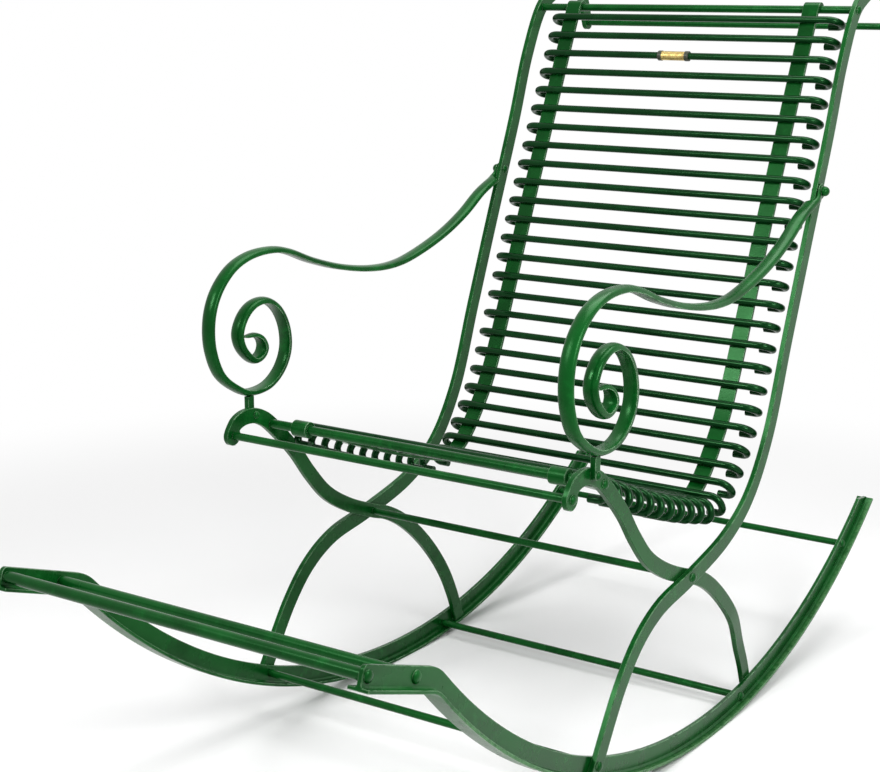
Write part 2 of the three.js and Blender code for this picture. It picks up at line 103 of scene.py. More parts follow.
def seen_plainly(tree):
    """One for a ray from the camera, off gloss or through glass, and nought for other light."""
    rays = grown(tree, "LightPath").outputs
    seen = reckoned(tree, "MAXIMUM", rays["Is Camera Ray"], rays["Is Glossy Ray"])
    return reckoned(tree, "MAXIMUM", seen, rays["Is Transmission Ray"])


def bare_material(name):
    material = bpy.data.materials.new(name)
    material.use_nodes = True
    material.node_tree.nodes.clear()
    return material


floor_paper = bare_material("floor_paper")
tree = floor_paper.node_tree
place = grown(tree, "TexCoord").outputs["Object"]
distance = grown(tree, "VectorMath", {"operation": "LENGTH"}, Vector=place).outputs["Value"]
fade = soft_mask(tree, distance, fade_start, fade_end)
plain_white = reckoned(tree, "MULTIPLY", seen_plainly(tree), fade)
paper = grown(tree, "BsdfDiffuse", Color=floor_colour).outputs[0]
glow = grown(tree, "Emission", Color=white, Strength=1).outputs[0]
surface = grown(tree, "MixShader", i0=plain_white, i1=paper, i2=glow).outputs[0]
grown(tree, "OutputMaterial", Surface=surface)

bm = bmesh.new()
bmesh.ops.create_grid(bm, x_segments=1, y_segments=1, size=floor_size)
floor_mesh = bpy.data.meshes.new("studio_floor")
bm.to_mesh(floor_mesh)
bm.free()
floor = bpy.data.objects.new("studio_floor", floor_mesh)
floor.data.materials.append(floor_paper)
scene.collection.objects.link(floor)

# The light: a plain soft room, white where it is seen, and three soft boxes. One is close to the
# chair's left side, so that this side is brighter than the far one.
room_light = 0.25
lamps = {
    "front_box": ((-0.9, -2.3, 2.2), 0.8, 38),
    "side_box": ((1.3, -0.5, 1.2), 0.6, 17),
    "top_box": ((0.4, 0.6, 2.7), 1.8, 56),
}
lamp_target = Vector((0, 0.1, 0.5))

world = bpy.data.worlds.new("studio_room")
world.use_nodes = True
scene.world = world
tree = world.node_tree
tree.nodes.clear()
strength = grown(tree, "MapRange", Value=seen_plainly(tree), To_Min=room_light,
                 To_Max=1).outputs["Result"]
backdrop = grown(tree, "Background", Color=white, Strength=strength).outputs[0]
grown(tree, "OutputWorld", Surface=backdrop)

for name, (location, size, power) in lamps.items():
    box = bpy.data.lights.new(name, "AREA")
    box.shape = "SQUARE"
    box.size = size
    box.energy = power
    lamp = bpy.data.objects.new(name, box)
    lamp.location = location
    lamp.rotation_euler = (lamp_target - lamp.location).to_track_quat("-Z", "Y").to_euler()
    scene.collection.objects.link(lamp)

# The rockers: T bar of wrought iron, rolled to one radius with its flange down, then bent up in
# front into the straight footrest rail. The web is filed down at the rear and rounded in front,
# and the flange's outer lip is rubbed by feet.
mm = 0.001
rocker_centre = Vector((0, 118.415, 953.859)) * mm
sole_radius = 954.5 * mm
sole_rise = 0.641 * mm  # brings the smooth sole up to the floor under the faceted one
rocker_height = 29.5 * mm
web_inner, web_outer = 269 * mm, 275 * mm
flange_inner, flange_outer = 258 * mm, 286 * mm
flange_thickness = 5 * mm
web_fillet = 2.2 * mm
rear_angle = math.radians(38.6)
front_angle = math.radians(46.9)
rail_slope = math.radians(19.3)
rail_bend_radius = 40 * mm
rail_length = 126.5 * mm
web_taper_length, web_end_share = 22 * mm, 0.08
web_front_round, web_round_steps = 7 * mm, 6
arc_steps, bend_steps, rail_steps = 120, 10, 6
rolled_edge = 0.8 * mm
eased_steps = 3
eased_angle, sharp_angle = math.radians(35), math.radians(38)
hair = 0.01 * mm

frame_green = (0.002, 0.062, 0.008)
# The light edge green stands partly for worn paint and partly for a painted highlight along the
# edges.
worn_and_glint_green = (0.3, 0.46, 0.3)
rubbed_green = (0.075, 0.2, 0.075)
frame_roughness, frame_wear_and_glint_width, frame_wear_and_glint = 0.24, 1.8 * mm, 0.8
deep_share, chip_share = 0.66, 0.35
faded_shares = (1.8, 1.35, 1.5)
cloud_grain, blotch_grain = (11, 5, 0.6), (47, 4, 0.65)
speck_grain, mottle_grain = (420, 3, 0.7), (130, 5, 0.7)
cloud_range, blotch_range, chip_range = (0.36, 0.62), (0.5, 0.78), (0.735, 0.765)
corner_range, wear_and_glint_range, mottle_range = (0.985, 0.88), (0.34, 0.56), (0.25, 0.75)
corner_samples = 4
smoother, duller, duller_where_worn = 0.06, 0.1, 0.18
brush_bump, brush_depth = 0.16, 0.6 * mm
grit_bump, grit_depth = 0.1, 0.18 * mm
gloss_level = 0.24
gloss_tint = (0.3, 1, 0.38, 1)
lip_low, lip_high = sole_radius - 6.5 * mm, sole_radius - 4.8 * mm
lip_inside, lip_outside = web_outer + 2 * mm, flange_outer - 2 * mm
lip_front, lip_behind = -570 * mm, -530 * mm


def noise(tree, place, grain):
    """Cloudy noise, by its grain: how fine it is, its detail and its roughness."""
    scale, detail, roughness = grain
    return grown(tree, "TexNoise", Vector=place, Scale=scale, Detail=detail,
                 Roughness=roughness).outputs["Fac"]


def blend(tree, share, first, second):
    """The first colour, going over into the second one by a share."""
    mix = tree.nodes.new("ShaderNodeMix")
    mix.data_type = "RGBA"
    sockets = mix.inputs[0], mix.inputs[6], mix.inputs[7]
    for socket, value in zip(sockets, (share, first, second)):
        if isinstance(value, bpy.types.NodeSocket):
            tree.links.new(value, socket)
        else:
            socket.default_value = value
    return mix.outputs[2]


def enamel(name, colour, worn_and_glint, roughness, wear_and_glint_width, wear_and_glint, scuffed=None):
    """Brushed green enamel: clouded, specked, with lighter edges of wear and painted highlight.

    Where scuffed is given, it makes a mask of the places that are also mottled by rubbing.
    """
    material = bare_material(name)
    tree = material.node_tree
    place = grown(tree, "TexCoord").outputs["Object"]
    clouds = noise(tree, place, cloud_grain)
    blotches = noise(tree, place, blotch_grain)
    specks = noise(tree, place, speck_grain)
    deep = (*(c * deep_share for c in colour), 1)
    faded = (*(c * share for c, share in zip(colour, faded_shares)), 1)
    chip = (*(c * chip_share for c in colour), 1)
    paint = blend(tree, soft_mask(tree, clouds, *cloud_range), deep, (*colour, 1))
    paint = blend(tree, soft_mask(tree, blotches, *blotch_range), paint, faded)

    rounded = grown(tree, "Bevel", {"samples": corner_samples}, Radius=wear_and_glint_width).outputs[0]
    flat = grown(tree, "NewGeometry").outputs["Normal"]
    facing = grown(tree, "VectorMath", {"operation": "DOT_PRODUCT"},
                   i0=rounded, i1=flat).outputs["Value"]
    edge = soft_mask(tree, facing, *corner_range)
    # The edges are lightened with this green: partly real wear, partly a painted highlight.
    rubbed_and_glint = reckoned(tree, "MULTIPLY", edge, soft_mask(tree, blotches, *wear_and_glint_range))
    paint = blend(tree, reckoned(tree, "MULTIPLY", rubbed_and_glint, wear_and_glint), paint, (*worn_and_glint, 1))
    if scuffed:
        mottle = soft_mask(tree, noise(tree, place, mottle_grain), *mottle_range)
        share = reckoned(tree, "MULTIPLY", scuffed(tree, place), mottle)
        paint = blend(tree, share, paint, (*rubbed_green, 1))
    paint = blend(tree, soft_mask(tree, specks, *chip_range), paint, chip)

    gloss = grown(tree, "MapRange", Value=clouds, From_Min=0.3, From_Max=0.7,
                  To_Min=roughness - smoother, To_Max=roughness + duller).outputs["Result"]
    gloss = reckoned(tree, "ADD", gloss, reckoned(tree, "MULTIPLY", rubbed_and_glint, duller_where_worn))
    skin = grown(tree, "Bump", Strength=brush_bump, Distance=brush_depth,
                 Height=blotches).outputs[0]
    skin = grown(tree, "Bump", Strength=grit_bump, Distance=grit_depth, Height=specks,
                 Normal=skin).outputs[0]
    shader = grown(tree, "BsdfPrincipled", Base_Color=paint, Roughness=gloss, Normal=skin)
    shader.inputs["Specular IOR Level"].default_value = gloss_level
    shader.inputs["Specular Tint"].default_value = gloss_tint
    grown(tree, "OutputMaterial", Surface=shader.outputs[0])
    return material


def along_flange(tree, place):
    """The outer lip of the rockers' flanges, behind the footrest."""
    across, run = grown(tree, "SeparateXYZ", Vector=place).outputs[:2]
    out = grown(tree, "VectorMath", {"operation": "SUBTRACT"}, i0=place,
                i1=rocker_centre).outputs[0]
    out = grown(tree, "VectorMath", {"operation": "MULTIPLY"}, i0=out, i1=(0, 1, 1)).outputs[0]
    reach = grown(tree, "VectorMath", {"operation": "LENGTH"}, i0=out).outputs["Value"]
    low = soft_mask(tree, reach, lip_low, lip_high)
    behind = soft_mask(tree, run, lip_front, lip_behind)
    outside = soft_mask(tree, reckoned(tree, "ABSOLUTE", across), lip_inside, lip_outside)
    return reckoned(tree, "MULTIPLY", reckoned(tree, "MULTIPLY", low, behind), outside)


def finished(bm, node, material, eased=0.0):
    """The mesh as the piece that stands for its node, its edges eased by hand."""
    bmesh.ops.recalc_face_normals(bm, faces=bm.faces)
    mesh = bpy.data.meshes.new(node + "_iron")
    bm.to_mesh(mesh)
    bm.free()
    mesh.shade_smooth()
    piece = bpy.data.objects.new(node + "_iron", mesh)
    scene.collection.objects.link(piece)
    if eased:
        edge = piece.modifiers.new("eased_edges", "BEVEL")
        edge.width = eased
        edge.segments = eased_steps
        edge.limit_method = "ANGLE"
        edge.angle_limit = eased_angle
        edge.use_clamp_overlap = False
        edge.harden_normals = True
    else:
        mesh.set_sharp_from_angle(angle=sharp_angle)
    mesh.materials.append(material)
    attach(piece, "root")
    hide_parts(node)


rocker_paint = enamel("rocker_enamel", frame_green, worn_and_glint_green, frame_roughness,
                      frame_wear_and_glint_width, frame_wear_and_glint, along_flange)
frame_paint = enamel("frame_enamel", frame_green, worn_and_glint_green, frame_roughness,
                     frame_wear_and_glint_width, frame_wear_and_glint)


def pair(bm, stem, eased, paint=frame_paint):
    """The left piece, and its mirror image on the right."""
    other = bm.copy()
    bmesh.ops.scale(other, vec=(-1, 1, 1), verts=other.verts)
    finished(bm, stem + "_left", paint, eased)
    finished(other, stem + "_right", paint, eased)


def on_rocker(angle, height):
    """A place on the rocker, by its angle from the lowest point and its height above the sole."""
    radius = sole_radius - height
    return rocker_centre + Vector((0, radius * math.sin(angle), -radius * math.cos(angle)))


def loop_edges(bm, verts):
    return [bm.edges.new(ends) for ends in zip(verts, verts[1:] + verts[:1])]


def edges_in(made):
    return [e for e in made if isinstance(e, bmesh.types.BMEdge)]


def drawn_out(bm, edges):
    """Draws an open end out, and gives the new end's vertices and edges."""
    made = bmesh.ops.extrude_edge_only(bm, edges=edges)["geom"]
    verts = [v for v in made if isinstance(v, bmesh.types.BMVert)]
    return verts, [e for e in edges_in(made) if all(v in verts for v in e.verts)]


section = [
    (flange_inner, sole_rise), (flange_outer, sole_rise), (flange_outer, flange_thickness),
    (web_outer + web_fillet, flange_thickness), (web_outer, flange_thickness + web_fillet),
    (web_outer, rocker_height), (web_inner, rocker_height),
    (web_inner, flange_thickness + web_fillet), (web_inner - web_fillet, flange_thickness),
    (flange_inner, flange_thickness),
]
bm = bmesh.new()
ring = []
for across, height in section:
    corner = on_rocker(rear_angle, height)
    corner.x = across
    ring.append(bm.verts.new(corner))
edges = loop_edges(bm, ring)
bm.faces.new(ring)
made = bmesh.ops.spin(bm, geom=edges, cent=rocker_centre, axis=(1, 0, 0),
                      angle=-(rear_angle + front_angle), steps=arc_steps)["geom_last"]
for vert in bm.verts:
    out = vert.co - rocker_centre
    angle = math.atan2(out.y, -out.z)
    height = sole_radius - math.hypot(out.y, out.z)
    share = (rear_angle - angle) * sole_radius / web_taper_length
    if share < 1 and height > flange_thickness + web_fillet / 2:
        lowered = flange_thickness + (height - flange_thickness) * max(share, web_end_share)
        vert.co = on_rocker(angle, lowered) + Vector((vert.co.x, 0, 0))
way_up = Vector((0, math.sin(front_angle), math.cos(front_angle)))
bend_centre = on_rocker(-front_angle, 0) - way_up * rail_bend_radius
made = bmesh.ops.spin(bm, geom=edges_in(made), cent=bend_centre, axis=(1, 0, 0),
                      angle=front_angle - rail_slope, steps=bend_steps)["geom_last"]
rail_ahead = Vector((0, -math.cos(rail_slope), math.sin(rail_slope)))
rail_up = Vector((0, math.sin(rail_slope), math.cos(rail_slope)))
edges = edges_in(made)
for _ in range(rail_steps):
    verts, edges = drawn_out(bm, edges)
    bmesh.ops.translate(bm, vec=rail_ahead * rail_length / rail_steps, verts=verts)
bmesh.ops.edgeloop_fill(bm, edges=edges)
crest = max(v.co.dot(rail_up) for v in verts) - hair
front_top = [e for e in edges if all(v.co.dot(rail_up) > crest for v in e.verts)]
bmesh.ops.bevel(bm, geom=front_top, offset=web_front_round, segments=web_round_steps,
                profile=0.5, affect="EDGES", material=-1)
pair(bm, "rocker", rolled_edge, rocker_paint)

# The back bars: flat bar on edge, its foot on the outside of the rocker's web. It crosses the leg
# bar, follows the seat and the lean, and is scrolled over at the top to a round end.
shift = Vector((0, 118.415, -0.641)) * mm
bar_width = 24 * mm
bar_inner, bar_outer = 275 * mm, 283 * mm
bar_edge = 1.1 * mm
rod_fit = 0.3 * mm
foot_run = 30 * mm
route_steps, curve_steps = 150, 40
end_steps, end_share = 7, 0.03

back_foot_shares = [(0.323, 0.122), (0.527, 0.155), (0.726, 0.126)]
back_lean_shares = [
    (0.095, -0.085), (0.175, -0.124), (0.281, -0.131), (0.437, -0.1),
    (0.595, -0.069), (0.785, -0.033), (0.904, -0.006)]
back_curl_shares = [(0.2, 0.178), (0.484, 0.32), (0.81, 0.269)]


def rod_place(name):
    """The middle of a cross rod in the side view."""
    low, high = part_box("rod_" + name)
    return Vector((0, (low[1] + high[1]) / 2, (low[2] + high[2]) / 2))


def between(start, end, shares):
    """Places given as shares of the line from start to end: along it and to its left."""
    line = end - start
    side = Vector((0, -line.z, line.y))
    return [start + line * along + side * aside for along, aside in shares]


def run_lengths(points):
    """How far along the line each of its points is."""
    runs = [0.0]
    for p, q in zip(points, points[1:]):
        runs.append(runs[-1] + (q - p).length)
    return runs


def route(places, steps):
    """Even stations on the smooth curve that a smith bends through the places."""
    points = [2 * places[0] - places[1], *places, 2 * places[-1] - places[-2]]
    fine = [places[0]]
    for a, b, c, d in zip(points, points[1:], points[2:], points[3:]):
        ab, bc, cd = (math.sqrt((q - p).length) for p, q in ((a, b), (b, c), (c, d)))
        leave = ((b - a) / ab - (c - a) / (ab + bc) + (c - b) / bc) * bc
        arrive = ((c - b) / bc - (d - b) / (bc + cd) + (d - c) / cd) * bc
        fine += interpolate_bezier(b, b + leave / 3, c - arrive / 3, c, curve_steps)[1:]
    runs = run_lengths(fine)
    stations, at = [], 0
    for i in range(steps + 1):
        run = runs[-1] * i / steps
        while at < len(runs) - 2 and runs[at + 1] < run:
            at += 1
        share = (run - runs[at]) / (runs[at + 1] - runs[at])
        stations.append(fine[at].lerp(fine[at + 1], share))
    return stations


def directions(stations):
    """The way ahead at each station."""
    last = len(stations) - 1
    return [(stations[min(i + 1, last)] - stations[max(i - 1, 0)]).normalized()
            for i in range(last + 1)]


def section_frame(origin, across, up):
    """A matrix that lays a section's x on across and its y on up, each with its length."""
    ahead = across.cross(up).normalized()
    return Matrix.Translation(origin) @ Matrix((across, up, ahead)).transposed().to_4x4()


def swept(outline, frames):
    """A section's outline drawn along its frames, closed at both ends."""
    bm = bmesh.new()
    verts = [bm.verts.new(frames[0] @ Vector((x, y, 0))) for x, y in outline]
    edges = loop_edges(bm, verts)
    bm.faces.new(verts)
    for before, after in zip(frames, frames[1:]):
        verts, edges = drawn_out(bm, edges)
        bmesh.ops.transform(bm, matrix=after @ before.inverted(), space=Matrix(), verts=verts)
    bmesh.ops.edgeloop_fill(bm, edges=edges)
    return bm


def flat_bar(middle, width, inner, outer, round_start=0.0, round_end=0.0, inwards=None):
    """Flat bar on edge along its middle line, with a round end where a radius is given."""
    ahead = directions(middle)
    runs = run_lengths(middle)
    stations = []
    for point, way, run in zip(middle, ahead, runs):
        half = width / 2
        for radius, reach in ((round_start, run), (round_end, runs[-1] - run)):
            if reach < radius:
                half = max(half, math.sqrt(radius ** 2 - reach ** 2))
        stations.append((point, way, half))
    for radius, sign, at in ((round_start, -1, 0), (round_end, 1, -1)):
        if radius:
            point, way = middle[at], ahead[at]
            cap = [(point + way * sign * radius * math.sin(turn), way, radius * math.cos(turn))
                   for turn in (math.pi / 2 * (i + 1) / end_steps for i in range(end_steps))]
            cap[-1] = (cap[-1][0], way, radius * end_share)
            stations = cap[::-1] + stations if at == 0 else stations + cap
    frames = []
    for point, way, half in stations:
        side = Vector((0, -way.z, way.y))
        aside = (inner + outer) / 2 - (inwards(point) if inwards else 0)
        across = Vector((outer - inner, 0, 0))
        frames.append(section_frame(point + Vector((aside, 0, 0)), across, side * half))
    return swept([(0.5, -1), (0.5, 1), (-0.5, 1), (-0.5, -1)], frames)


def cut_foot(bm, angle):
    """Saws the foot off along the flange's top, at an angle on the rocker."""
    up = Vector((0, -math.sin(angle), math.cos(angle)))
    cut = bmesh.ops.bisect_plane(bm, geom=bm.verts[:] + bm.edges[:] + bm.faces[:],
                                 plane_co=on_rocker(angle, flange_thickness + rod_fit),
                                 plane_no=up, clear_inner=True)["geom_cut"]
    bmesh.ops.edgeloop_fill(bm, edges=edges_in(cut))


foot = rod_place("front_leg")
crossing, top, curl = rod_place("crossing"), rod_place("top"), rod_place("curl")
foot_places = between(foot, crossing, back_foot_shares)
foot_way = (foot_places[0] - foot).normalized()
back_middle = route([
    foot - foot_way * foot_run, foot, *foot_places, crossing,
    *between(crossing, top, back_lean_shares), top, *between(top, curl, back_curl_shares), curl],
    route_steps)
bm = flat_bar(back_middle, bar_width, bar_inner, bar_outer, round_end=bar_width / 2)
foot_out = foot - rocker_centre
cut_foot(bm, math.atan2(foot_out.y, -foot_out.z))
pair(bm, "back_bar", bar_edge)

# The leg bars: flat bar again, hooked over the front rods with a round forged tip. They pass inside
# the back bars at the crossing and ease inwards, down to a foot on the inside of the rocker's web.
leg_width = 22 * mm
hook_end_radius = 14 * mm
leg_inner, leg_outer = 267 * mm, 275 * mm
ease_bottom, ease_drop = 90.5 * mm + shift.z, 96 * mm
foot_inset = 6 * mm
foot_beyond = 0.03143
rear_foot_angle = math.radians(9.15)
hook_shares = [(0.055, 0.146), (0.256, 0.244), (0.552, 0.239), (0.82, 0.13)]
leg_fall_shares = [(0.234, -0.022), (0.414, -0.062), (0.594, -0.085), (0.787, -0.061)]
rear_leg_shares = [(0.101, 0.053), (0.241, 0.098), (0.443, 0.124), (0.612, 0.118), (0.855, 0.056)]


def smoothstep(value, low, high):
    share = min(max((value - low) / (high - low), 0), 1)
    return share * share * (3 - 2 * share)


def eased_inwards(point):
    """How far the leg bar has moved inwards at a place below the crossing."""
    if point.y < crossing.y:
        return 0
    return foot_inset * (1 - smoothstep(point.z, ease_bottom, crossing.z - ease_drop))


upper_front, lower_front = rod_place("upper_front"), rod_place("lower_front")
rear_foot = on_rocker(rear_foot_angle, flange_thickness)
leg_middle = route([
    lower_front, *between(lower_front, upper_front, hook_shares), upper_front,
    *between(upper_front, crossing, leg_fall_shares), crossing,
    *between(crossing, rear_foot, rear_leg_shares), rear_foot,
    rear_foot + (rear_foot - crossing) * foot_beyond], route_steps)
bm = flat_bar(leg_middle, leg_width, leg_inner, leg_outer, round_start=hook_end_radius,
              inwards=eased_inwards)
cut_foot(bm, rear_foot_angle)
pair(bm, "leg_bar", bar_edge)

# The posts: short flat uprights with a rounded foot, between the hook and the scroll. Each is held
# to the leg bar by one rivet with a peened head on both sides.
scroll_foot = Vector((0, -356, 500.5)) * mm + shift
post_width = 12 * mm
post_drop = 25.5 * mm
post_steps = 8
post_edge = 0.5 * mm
post_rivet, post_head, head_height = 4 * mm, 5.5 * mm, 4.5 * mm
shank_end, head_bite = bar_outer - 1 * mm, 0.2 * mm
turned_sides, dome_steps = 28, 6
weld = 0.0001 * mm


def turned(profile, centre):
    """A round piece about a line along X, from its distances along X and its radii."""
    bm = bmesh.new()
    chain = [bm.verts.new(centre + Vector((x, radius, 0))) for x, radius in profile]
    edges = [bm.edges.new(ends) for ends in zip(chain, chain[1:])]
    bmesh.ops.spin(bm, geom=chain + edges, cent=centre, axis=(1, 0, 0), angle=2 * math.pi,
                   steps=turned_sides, use_merge=True)
    bmesh.ops.remove_doubles(bm, verts=bm.verts, dist=weld)
    return bm


def dome(face, radius, height):
    """A peened head's profile, from its rim on the bar's outer face to its middle."""
    turns = [math.pi / 2 * i / dome_steps for i in range(dome_steps)]
    rim = [(face + height * math.sin(turn), radius * math.cos(turn)) for turn in turns]
    return [*rim, (face + height, 0)]


def inner_dome(face, radius, height):
    """The profile of a head on the bar's inner face, from its middle to its rim."""
    return [(2 * face - x, r) for x, r in dome(face, radius, height)[::-1]]


def join(bm, *others):
    """Adds the other meshes to the first one, as parts of one piece."""
    for other in others:
        bmesh.ops.recalc_face_normals(other, faces=other.faces)
        mesh = bpy.data.meshes.new("part")
        other.to_mesh(mesh)
        other.free()
        bm.from_mesh(mesh)
        bpy.data.meshes.remove(mesh)
    return bm


post_low = scroll_foot - Vector((0, 0, post_drop))
post_line = [scroll_foot.lerp(post_low, i / post_steps) for i in range(post_steps + 1)]
bm = flat_bar(post_line, post_width, bar_inner, bar_outer, round_end=post_width / 2)
rivet = turned([
    *inner_dome(leg_inner, post_head, head_height),
    (leg_inner, post_rivet), (shank_end, post_rivet),
    *dome(bar_outer - head_bite, post_head, head_height)], post_low)
pair(join(bm, rivet), "post", post_edge)

# The straps: thin flat bar that carries the slats. In front an eye goes round the upper front rod,
# and at the top the strap is hooked over the top rod.
strap_inner, strap_outer = 197 * mm, 223 * mm
strap_thickness = 5 * mm
strap_edge = 0.7 * mm
upper_front_radius, top_rod_radius = 6.5 * mm, 6 * mm
strap_shares = [
    (0.062, -0.105), (0.12, -0.198), (0.177, -0.28), (0.227, -0.338),
    (0.273, -0.348), (0.335, -0.338), (0.399, -0.317), (0.682, -0.161)]
strap_fineness = 4
eye_bore, eye_radius = upper_front_radius + rod_fit, upper_front_radius + rod_fit + strap_thickness
eye_station, eye_clear = 12, 2 * mm
hook_radius = top_rod_radius + rod_fit + strap_thickness / 2
hook_angle, hook_steps = math.radians(165), 12

strap_places = between(upper_front, top, strap_shares)
lean_line = (top - strap_places[-1]).normalized()
lean_front = Vector((0, -lean_line.z, lean_line.y))
strap_top = top + lean_front * hook_radius
strap_route = route([upper_front, *strap_places, strap_top], strap_fineness * route_steps)
eye_way = (strap_route[eye_station] - upper_front).normalized()
strap_middle = [upper_front + eye_way * (eye_radius - strap_thickness / 2)]
strap_middle += [point for point in strap_route[::strap_fineness]
                 if (point - upper_front).length > eye_radius + eye_clear]
for i in range(hook_steps):
    turn = Matrix.Rotation(-hook_angle * (i + 1) / hook_steps, 3, "X")
    strap_middle.append(top + turn @ lean_front * hook_radius)
bm = flat_bar(strap_middle, strap_thickness, strap_inner, strap_outer)
eye = turned([
    (strap_inner, eye_radius), (strap_outer, eye_radius), (strap_outer, eye_bore),
    (strap_inner, eye_bore), (strap_inner, eye_radius)], upper_front)
pair(join(bm, eye), "strap", strap_edge)

# The arms: half-round iron drawn to a point, rolled into a spiral scroll and swept down and up to
# the back bar. The end is notched round the bar, forged flat and held by a bolt with a ball head.
arm_width, arm_thickness = 20.5 * mm, 9 * mm
arm_middle = 281 * mm
arm_steps = 260
scroll_height = 205 * mm
tip_taper, tip_share, tip_power = 60 * mm, 0.3, 0.6
notch_outer = 291.5 * mm
notch_full, notch_start = bar_width / 2 + 1.2 * mm, bar_width / 2 + 6 * mm
notch_reach = 164 * mm
tab_thickness, tab_radius = 4 * mm, 11 * mm
tab_full, tab_start = 4 * mm, 20 * mm
arm_bolt_height = 762.5 * mm + shift.z
ball_radius, ball_seat = 7.5 * mm, 3.6 * mm
ball_columns, ball_rows = 32, 20
bolt_radius, bolt_head = 4.5 * mm, 6.8 * mm
crown_rise, crown_steps = 0.55, 10
arris_rise, arris_inset = 0.93, 0.46
scroll_shares = [
    (-0.033, 0.424), (0.083, 0.429), (0.157, 0.395), (0.195, 0.317), (0.157, 0.244), (0.054, 0.215),
    (-0.083, 0.322), (-0.122, 0.444), (-0.064, 0.571), (0.046, 0.649), (0.189, 0.663),
    (0.322, 0.595), (0.414, 0.463), (0.444, 0.312), (0.419, 0.2), (0.337, 0.088), (0.201, 0.01),
    (-0.004, 0), (-0.166, 0.068), (-0.312, 0.185), (-0.392, 0.356), (-0.41, 0.507),
    (-0.383, 0.659), (-0.308, 0.795), (-0.162, 0.922), (0.031, 0.99), (0.284, 1)]
arm_shares = [
    (0.059, -0.018), (0.145, -0.059), (0.265, -0.104), (0.386, -0.133), (0.472, -0.141),
    (0.548, -0.136), (0.686, -0.11), (0.792, -0.075), (0.883, -0.033)]

at = next(i for i, point in enumerate(back_middle) if point.z > arm_bolt_height)
low, high = back_middle[at - 1], back_middle[at]
bolt = low.lerp(high, (arm_bolt_height - low.z) / (high.z - low.z))
scroll = [scroll_foot + Vector((0, along, up)) * scroll_height for along, up in scroll_shares]
arm_route = route([*scroll, *between(scroll[-1], bolt, arm_shares), bolt], arm_steps)
arm_ways = directions(arm_route)
runs = run_lengths(arm_route)
bar_near = [point for point in back_middle if (point - bolt).length < notch_reach]
tab_inner, tab_outer = bar_outer + rod_fit, bar_outer + tab_thickness
frames = []
for point, way, run in zip(arm_route, arm_ways, runs):
    fullness = tip_share + (1 - tip_share) * min(run / tip_taper, 1) ** tip_power
    crown = Vector((0, -way.z, way.y))
    near = min((edge - beside).length for beside in bar_near
               for edge in (point, point - crown * arm_thickness))
    notched = 1 - smoothstep(near, notch_full, notch_start)
    inner = arm_middle - arm_width / 2 * fullness
    inner += (tab_inner - inner) * notched
    outer = arm_middle + arm_width / 2 * fullness
    outer += (notch_outer - outer) * notched
    flattened = 1 - smoothstep(runs[-1] - run, tab_full, tab_start)
    outer += (tab_outer - outer) * flattened
    depth = arm_thickness * fullness
    depth += (2 * tab_radius - depth) * flattened
    middle = point + crown * tab_radius * flattened + Vector(((inner + outer) / 2, 0, 0))
    frames.append(section_frame(middle, Vector((outer - inner, 0, 0)), crown * depth))
crown = Vector((0, -arm_ways[-1].z, arm_ways[-1].y))
for i in range(end_steps):
    turn = math.pi / 2 * (i + 1) / end_steps
    half = tab_radius * max(math.cos(turn), end_share)
    middle = bolt + arm_ways[-1] * tab_radius * math.sin(turn) + crown * half
    middle.x = (tab_inner + tab_outer) / 2
    frames.append(section_frame(middle, Vector((tab_outer - tab_inner, 0, 0)), crown * 2 * half))
turns = [math.pi / 2 * (1 - 2 * i / crown_steps) for i in range(crown_steps + 1)]
rounded = [(0.5 * math.sin(turn), -crown_rise * (1 - math.cos(turn))) for turn in turns]
half_round = [(0.5, -arris_rise), *rounded, (-0.5, -arris_rise), (-arris_inset, -1),
              (arris_inset, -1)]
bm = swept(half_round, frames)
ball = bmesh.new()
bmesh.ops.create_uvsphere(ball, u_segments=ball_columns, v_segments=ball_rows, radius=ball_radius)
bmesh.ops.translate(ball, vec=bolt + Vector((tab_outer + ball_seat, 0, 0)), verts=ball.verts)
shank = turned([
    *inner_dome(bar_inner, bolt_head, head_height),
    (bar_inner, bolt_radius), (tab_outer, bolt_radius), (tab_outer, 0)], bolt)
pair(join(bm, ball, shank), "arm", 0)

# The cross rods: round iron between the two sides, shouldered down to a tenon at each end. The
# tenon goes through the bars and is peened over to a round head.
tenon_share = 0.72
shoulder_run, shoulder_drop = 0.6 * mm, 0.5 * mm
rim_height = 0.3 * mm
waist_shares = (0.8, 0.6, 0.4, 0.2, 0)
rods = {
    "upper_front": (6.5 * mm, leg_inner, leg_outer, 6.8 * mm),
    "lower_front": (5.5 * mm, leg_inner, leg_outer, 6.8 * mm),
    "crossing": (5.5 * mm, leg_inner, bar_outer, 6.8 * mm),
    "rear_leg": (5.5 * mm, web_inner, web_outer, 6.8 * mm),
    "rear": (5.5 * mm, web_inner, web_outer, 6.8 * mm),
    "top": (6 * mm, bar_inner, bar_outer, 6.8 * mm),
    "curl": (5.5 * mm, bar_inner, bar_outer, 6.8 * mm),
    "front_leg": (5.5 * mm, web_inner, bar_outer, 6.8 * mm),
    "footrest_tip": (7.5 * mm, web_inner, web_outer, 8 * mm),
    "footrest_heel": (7 * mm, web_inner, web_outer, 8 * mm),
}
for name, (radius, shoulder, face, head_radius) in rods.items():
    tenon = radius * tenon_share
    half = [*[(shoulder * share, radius) for share in waist_shares[::-1]],
            (shoulder - shoulder_run, radius), (shoulder, radius - shoulder_drop),
            (shoulder, tenon), (face, tenon), (face, head_radius),
            *dome(face + rim_height, head_radius, head_height - rim_height)]
    whole = [(-x, r) for x, r in half[:0:-1]] + half
    finished(turned(whole, rod_place(name)), "rod_" + name, frame_paint)
